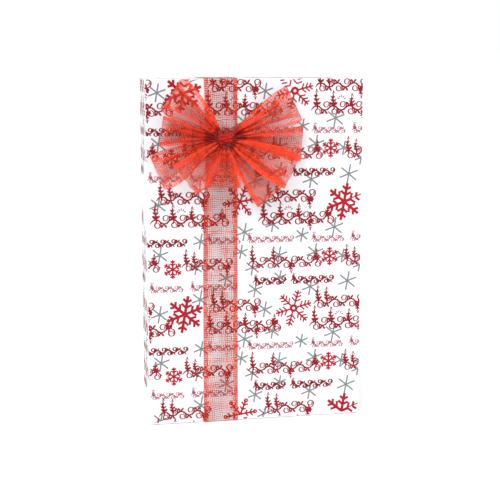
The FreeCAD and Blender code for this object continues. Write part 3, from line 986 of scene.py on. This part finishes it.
class GIFT_OT_band(bpy.types.Operator):
    """Tie the mesh ribbon band round the gift"""

    bl_idname = "gift.band"
    bl_label = "Ribbon Band"

    def execute(self, context):
        settings = context.scene.gift_ribbon
        cloth, uv, gather_and_shade = band_cloth(settings)
        band = cloth_piece("ribbon_band_cloth", cloth, uv, gather_and_shade)
        # The band's finish gets the darker factor: painted shade.
        finish = ribbon_finish("Mesh ribbon, band", settings, settings.cover, settings.tone)
        band.data.materials.append(finish)
        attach(band, "ribbon")
        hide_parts("ribbon_band")
        edge_finish = wire_finish("Ribbon edge wire", tuple(settings.red), 0.2)
        for name, column in (("left", 0), ("right", -1)):
            points, faces = tube(cloth[:, column], WIRE_RADIUS)
            wire = new_piece(f"band_edge_{name}", points, faces, merge=True)
            wire.data.materials.append(edge_finish)
            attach(wire, "ribbon")
            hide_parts(f"band_wire_{name}")
        return {"FINISHED"}


# ---------------------------------------------------------------- the bow


def loop_axes(name):
    """The loop's own directions in the frame: along it, off the face, and across the ribbon."""
    plan, lift, _, _, roll, _, _ = LOOPS[name]
    plan, lift, roll = np.radians([plan, lift, roll])
    along = np.array([np.cos(plan) * np.cos(lift), -np.sin(lift), np.sin(plan) * np.cos(lift)])
    across = np.array([-np.sin(plan), 0.0, np.cos(plan)])
    rise = np.cross(along, across)
    rise *= -np.sign(rise[1])
    rise = rise * np.cos(roll) - across * np.sin(roll)
    return along, rise, np.cross(along, rise)


def loop_cloth(name, index, settings):
    """A loop as a grid: rows follow the ribbon from the neck out along the front leaf, round the tip, back.

    With c running from 1 at the tip to 0 at the neck as half of one plus a cosine, the reach is the neck's
    radius plus the rest of the length times c to the power 0.62, and the rise is a share of the length times
    a sine and a low power of c. Across, the half width opens from the neck as a power of the reach. Where it
    is less than the ribbon's own, pleats that wander sideways take up the width: their slope is the root of
    twice the square of the ribbon's width over what is left, less two.
    """
    _, _, size, opening, _, fan, soon = LOOPS[name]
    rows, columns, deepest = 81, 49, 0.0024
    walk = np.linspace(-1.0, 1.0, rows)
    t, leaf = np.abs(walk), -np.sign(walk)
    near_tip = (1 + np.cos(np.pi * t)) / 2
    reach = NECK_RADIUS + (size - NECK_RADIUS) * near_tip**0.62
    swell = 0.59 * opening * size * np.abs(np.sin(np.pi * t)) ** 0.9 * near_tip**0.35
    rise = (swell + NECK_GAP * (1 - near_tip)) * leaf
    neck = np.tan(np.radians(fan)) * NECK_RADIUS
    full = np.tan(np.radians(fan)) * size
    share_out = (reach - NECK_RADIUS) / (size - NECK_RADIUS)
    half = np.minimum(RIBBON_HALF, neck + (full - neck) * share_out**soon)
    taken = np.sqrt(2 * ((RIBBON_HALF / half) ** 2 - 1))
    height = np.minimum(taken * half / (np.pi * settings.pleats), deepest)
    across = np.linspace(-1.0, 1.0, columns)
    phase = np.random.default_rng(settings.seed + index).uniform(0, 2 * np.pi, 6)
    drift = (1.1 * np.sin(3.1 * walk + phase[2]) + 0.5 * np.sin(7.3 * walk + phase[4]))[:, None]
    pleat = 0.7 * np.sin(settings.pleats * np.pi * across + phase[0] + drift)
    pleat = pleat + 0.3 * np.sin((2 * settings.pleats + 1) * np.pi * across + phase[1] - 1.6 * drift)
    crinkle = np.sin(9 * walk + phase[2])[:, None] * np.sin(4 * across + phase[3])
    crinkle = crinkle + 0.6 * np.sin(23 * walk + phase[4])[:, None] * np.sin(7 * across + phase[5])
    off = rise[:, None] + height[:, None] * pleat + settings.crinkle * crinkle * (near_tip > 0)[:, None]
    step = np.hypot(np.diff(reach), np.diff(rise))
    run = np.concatenate([[0.0], np.cumsum(step)])
    along, up, side = loop_axes(name)
    beside = (half[:, None] * across)[..., None] * side
    cloth = KNOT + reach[:, None, None] * along + off[..., None] * up + beside
    # The gather is also painted shade: the squeezed neck takes the deep fold colour.
    squeezed = np.clip((RIBBON_HALF / half - 1.25) / 3.2, 0, 1)
    gather_and_shade = np.repeat(squeezed[:, None], columns, 1)
    return cloth, cloth_uv(across * RIBBON_HALF, run), gather_and_shade, float(run[-1])


class GIFT_OT_bow_loops(bpy.types.Operator):
    """Form the bow's loops from the ribbon, with their edge wires"""

    bl_idname = "gift.bow_loops"
    bl_label = "Bow Loops"

    def execute(self, context):
        settings, ribbon = context.scene.gift_bow, context.scene.gift_ribbon
        cloth_finish = ribbon_finish("Mesh ribbon, bow", ribbon, ribbon.bow_cover)
        edge_finish = wire_finish("Bow edge wire", tuple(ribbon.red), 0.2)
        for index, name in enumerate(LOOPS):
            cloth, uv, gather_and_shade, run = loop_cloth(name, index, settings)
            loop = cloth_piece(f"bow_loop_{name}_cloth", cloth, uv, gather_and_shade)
            loop.data.materials.append(cloth_finish)
            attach(loop, "bow")
            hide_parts(f"bow_loop_{name}")
            side = loop_axes(name)[2] * 1.5 * WIRE_RADIUS
            wires = joined([tube(cloth[:, 0] - side, WIRE_RADIUS), tube(cloth[:, -1] + side, WIRE_RADIUS)])
            edges = new_piece(f"bow_edges_{name}", *wires, merge=True)
            edges.data.materials.append(edge_finish)
            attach(edges, "bow")
            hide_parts(f"bow_wires_{name}")
        return {"FINISHED"}


class GIFT_OT_bow_middle(bpy.types.Operator):
    """Gather the middle of the bow into a pinched waist"""

    bl_idname = "gift.bow_middle"
    bl_label = "Bow Middle"

    def execute(self, context):
        """A surface of revolution about X: a waist between two shoulders, with pleats that twist round it.

        The pleats are two sines round the ring, and the ring is scaled by the largest fold. The gather,
        higher in the pleats' valleys, paints shade there, and the whole waist takes the deep fold colour as
        painted shade.
        """
        half = (MIDDLE_HIGH - MIDDLE_LOW) / 2
        x = np.linspace(-1.0, 1.0, 61)
        stations = [0, 0.25, 0.53, 0.78, 0.97, 1]
        shares = [0.66, 0.68, 0.93, 0.78, 0.34, 0.0]
        radius = np.interp(np.abs(x), stations, shares) * half[2]
        around = np.linspace(0, 2 * np.pi, 96, endpoint=False)
        fold = np.sin(9 * around + 3.0 * x[:, None]) + 0.5 * np.sin(14 * around - 4.0 * x[:, None] + 1)
        depth, largest = 0.09, 1.135
        ring = radius[:, None] * (1 + depth * fold) / largest
        along = np.repeat(x[:, None] * half[0], len(around), 1)
        points = np.stack([along, ring * np.cos(around), ring * np.sin(around)], -1) + KNOT
        uv = cloth_uv(around * 0.006, x * half[0])
        # The gather is near 1 all round and higher in the pleats' valleys: painted shade in the deep fold
        # colour.
        middle = cloth_piece("bow_middle_cloth", points, uv, 0.92 - 0.12 * fold, close=True)
        ribbon = context.scene.gift_ribbon
        middle.data.materials.append(ribbon_finish("Mesh ribbon, gathered", ribbon, ribbon.bow_cover))
        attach(middle, "bow")
        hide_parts("bow_middle")
        return {"FINISHED"}


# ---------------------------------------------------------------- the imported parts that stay, and the stage


class GIFT_OT_box_and_tape(bpy.types.Operator):
    """Finish the box's board, the tape and the tie wire"""

    bl_idname = "gift.box_and_tape"
    bl_label = "Box, Tape and Tie Wire"

    def execute(self, context):
        board, tape = board_finish(), tape_finish()
        tie = wire_finish("Tie wire", (0.40, 0.012, 0.014), 0.6)
        finishes = {"box_": board, "seam_tape": tape, "end_tape": tape, "bow_tie": tie}
        for name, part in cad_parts.items():
            for start, finish in finishes.items():
                if name.startswith(start):
                    part.data.materials.clear()
                    part.data.materials.append(finish)
        return {"FINISHED"}


FLOOR_HALF = 40.0
AIM = Vector((0.0385, 0.0, 0.190))  # the place that the camera looks at
SUN_ENERGY, SUN_ANGLE = 1.7, 26
SUN_DIRECTION = Vector((0.38, 0.80, -0.72))
SENSOR_WIDTH = 36.0


class GIFT_OT_stage(bpy.types.Operator):
    """Set the floor, the soft studio light and the camera"""

    bl_idname = "gift.stage"
    bl_label = "Stage"

    def execute(self, context):
        scene, settings = context.scene, context.scene.gift_stage
        corners = FLOOR_HALF * np.array([[-1, -1, 0], [1, -1, 0], [1, 1, 0], [-1, 1, 0]])
        floor = new_piece("floor", corners, np.array([[0, 1, 2, 3]]), smooth=False)
        made, tree, shader = new_material("Studio floor")
        pale = tuple(settings.floor)
        matte = blend_colours(tree, mottled(tree, 0.2), scaled(pale, 0.99), pale)
        fill(tree, shader, Base_Color=matte, Roughness=0.9)
        floor.data.materials.append(made)

        world = bpy.data.worlds.new("Studio")
        world.use_nodes = True
        sky = world.node_tree.nodes["Background"]
        fill(world.node_tree, sky, Color=(1.0, 1.0, 1.0, 1.0), Strength=1.0)
        scene.world = world
        light = bpy.data.lights.new("Key", "SUN")
        light.energy, light.angle = SUN_ENERGY, math.radians(SUN_ANGLE)
        lamp = bpy.data.objects.new("Key", light)
        lamp.rotation_euler = SUN_DIRECTION.to_track_quat("-Z", "Y").to_euler()
        scene.collection.objects.link(lamp)

        az, el, far = settings.azimuth, settings.elevation, settings.distance
        way = Vector((math.sin(az) * math.cos(el), -math.cos(az) * math.cos(el), math.sin(el)))
        place = AIM + far * way
        camera = bpy.data.objects.new("Camera", bpy.data.cameras.new("Camera"))
        camera.location = place
        camera.rotation_euler = (AIM - place).to_track_quat("-Z", "Y").to_euler()
        camera.data.lens, camera.data.sensor_width = settings.lens, SENSOR_WIDTH
        scene.collection.objects.link(camera)
        scene.camera = camera
        scene.view_settings.view_transform = "Standard"
        return {"FINISHED"}


class GIFT_PT_panel(bpy.types.Panel):
    """Lists the pieces of the gift and their settings"""

    bl_idname = "GIFT_PT_panel"
    bl_label = "Wrapped Gift"
    bl_space_type = "VIEW_3D"
    bl_region_type = "UI"
    bl_category = "Gift"

    def draw(self, context):
        groups = [
            ("gift_paper", (GIFT_OT_paper, GIFT_OT_print)),
            ("gift_ribbon", (GIFT_OT_band,)),
            ("gift_bow", (GIFT_OT_bow_middle, GIFT_OT_bow_loops)),
            ("gift_stage", (GIFT_OT_box_and_tape, GIFT_OT_stage)),
        ]
        for key, operators in groups:
            box = self.layout.box()
            settings = getattr(context.scene, key)
            for field in settings.__annotations__:
                box.prop(settings, field)
            for operator in operators:
                box.operator(operator.bl_idname)


SETTINGS = {
    "gift_paper": GiftPaperSettings,
    "gift_ribbon": GiftRibbonSettings,
    "gift_bow": GiftBowSettings,
    "gift_stage": GiftStageSettings,
}
CLASSES = (
    *SETTINGS.values(), GIFT_OT_paper, GIFT_OT_print, GIFT_OT_band, GIFT_OT_bow_middle, GIFT_OT_bow_loops,
    GIFT_OT_box_and_tape, GIFT_OT_stage, GIFT_PT_panel,
)


def register():
    for made in CLASSES:
        bpy.utils.register_class(made)
    for key, made in SETTINGS.items():
        setattr(bpy.types.Scene, key, bpy.props.PointerProperty(type=made))


def unregister():
    for key in SETTINGS:
        delattr(bpy.types.Scene, key)
    for made in reversed(CLASSES):
        bpy.utils.unregister_class(made)


def main():
    """Registers the classes and makes every piece in order."""
    register()
    bpy.ops.gift.paper()
    bpy.ops.gift.print_motifs()
    bpy.ops.gift.band()
    bpy.ops.gift.bow_middle()
    bpy.ops.gift.bow_loops()
    bpy.ops.gift.box_and_tape()
    bpy.ops.gift.stage()


if __name__ == "__main__":
    main()
